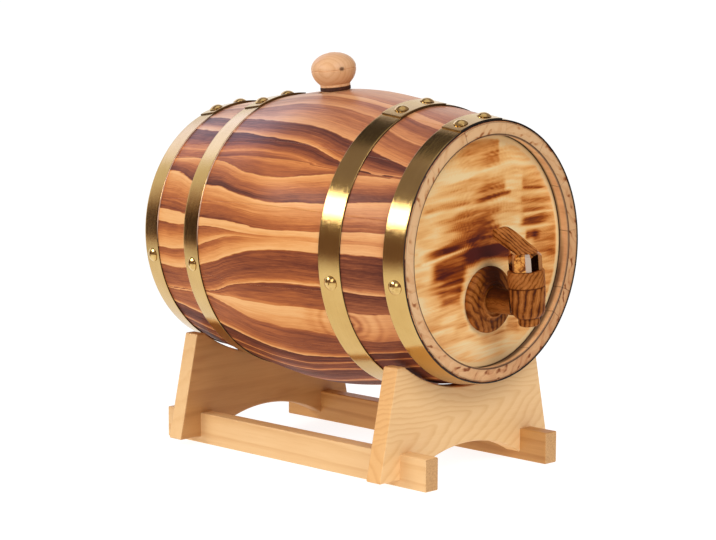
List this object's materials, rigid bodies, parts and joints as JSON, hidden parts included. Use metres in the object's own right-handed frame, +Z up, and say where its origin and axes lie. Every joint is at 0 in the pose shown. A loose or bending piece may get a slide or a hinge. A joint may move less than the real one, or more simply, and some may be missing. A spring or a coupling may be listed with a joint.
{
  "type": "cask liquor dispenser",
  "caption": "Small hooped wooden cask lying on a two-board cradle, with a turned bung on top and a wooden tap with a lever in one head.",
  "frame": {"origin": "on the table under the middle of the whole object's box", "axes": "+Z up, cask axis along Y, the tap end faces -Y"},
  "size_m": [0.2119, 0.3016, 0.2878],
  "materials": {
    "torched_stave": "torched wood, satin lacquer",
    "torched_head": "torched wood, satin",
    "hoop_brass": "brushed brass strip",
    "rivet_brass": "polished brass",
    "pale_wood": "turned, bare",
    "dark_rubber": "soft, matt",
    "tap_wood": "turned, oiled",
    "polished_metal": "polished",
    "tap_metal": "machined",
    "pine": "planed, clear lacquer",
    "screw_steel": "zinc plated"
  },
  "bodies": {
    "stand": {"saddle_front": "pine", "saddle_rear": "pine", "rail_left": "pine", "rail_right": "pine", "stand_screws": "screw_steel"},
    "cask": {"head_front": "torched_head", "head_rear": "torched_head", "hoop_1": "hoop_brass", "hoop_2": "hoop_brass", "hoop_3": "hoop_brass", "hoop_4": "hoop_brass", "rivets_hoop_1": "rivet_brass", "rivets_hoop_2": "rivet_brass", "rivets_hoop_3": "rivet_brass", "rivets_hoop_4": "rivet_brass", "stave_01": "torched_stave", "stave_02": "torched_stave", "stave_03": "torched_stave", "stave_04": "torched_stave", "stave_05": "torched_stave", "stave_06": "torched_stave", "stave_07": "torched_stave", "stave_08": "torched_stave", "stave_09": "torched_stave", "stave_10": "torched_stave", "stave_11": "torched_stave", "stave_12": "torched_stave", "stave_13": "torched_stave", "stave_14": "torched_stave", "tap_barrel": "tap_wood", "tap_flange": "tap_wood", "tap_gland": "tap_metal", "tap_neck": "tap_wood", "tap_nut": "tap_metal", "tap_shank": "tap_metal", "tap_spout": "tap_wood", "tap_valve": "tap_metal", "tap_washer_inner": "dark_rubber", "tap_washer_outer": "dark_rubber"},
    "bung": {"bung": "pale_wood", "bung_seal": "dark_rubber"},
    "tap_handle": {"tap_key": "tap_metal", "key_orings": "dark_rubber", "tap_collar": "polished_metal", "tap_lever": "tap_wood"}
  },
  "joints": [
    {"name": "cask_lift", "type": "slide", "parent": "stand", "child": "cask", "axis": [0, 0, 1], "range_m": [0, 0.06]},
    {"name": "bung_pull", "type": "slide", "parent": "cask", "child": "bung", "axis": [-0.1218, 0.0262, 0.9922], "range_m": [0, 0.045]},
    {"name": "tap_turn", "type": "hinge", "parent": "cask", "child": "tap_handle", "pos_m": [0.0026, -0.13825, 0.1222], "axis": [-0.1219, 0, 0.9925], "range_deg": [0, 90]}
  ]
}
